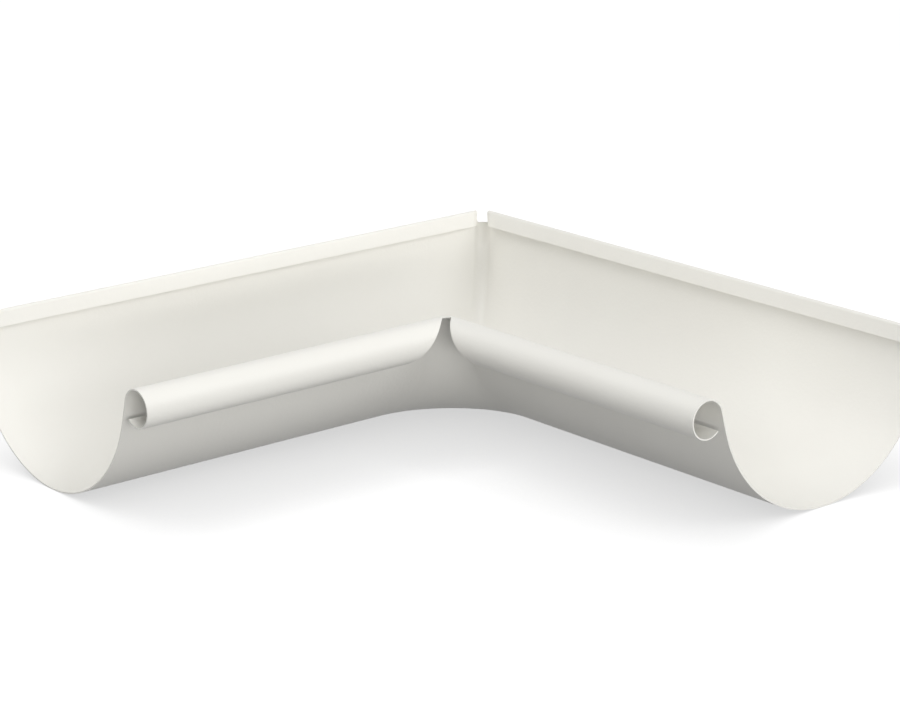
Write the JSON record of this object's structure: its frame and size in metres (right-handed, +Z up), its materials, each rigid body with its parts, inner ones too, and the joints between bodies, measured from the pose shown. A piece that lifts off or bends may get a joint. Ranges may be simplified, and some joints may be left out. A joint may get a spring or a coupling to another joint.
{
  "type": "internal gutter angle",
  "caption": "One-piece inside corner for a half-round eaves gutter: two trough arms at a right angle, rolled front beads and a folded back lip",
  "frame": {"origin": "middle of the square footprint, at the lowest line of the trough", "axes": "+Z up; one arm runs along +X with its back wall on the +Y side, the other along -Y with its back wall on the -X side; the inside corner faces +X -Y"},
  "size_m": [0.302, 0.302, 0.0673],
  "materials": {
    "coated_steel": "off-white polyester coating, satin"
  },
  "bodies": {
    "root": {"gutter_angle": "coated_steel"}
  },
  "joints": []
}
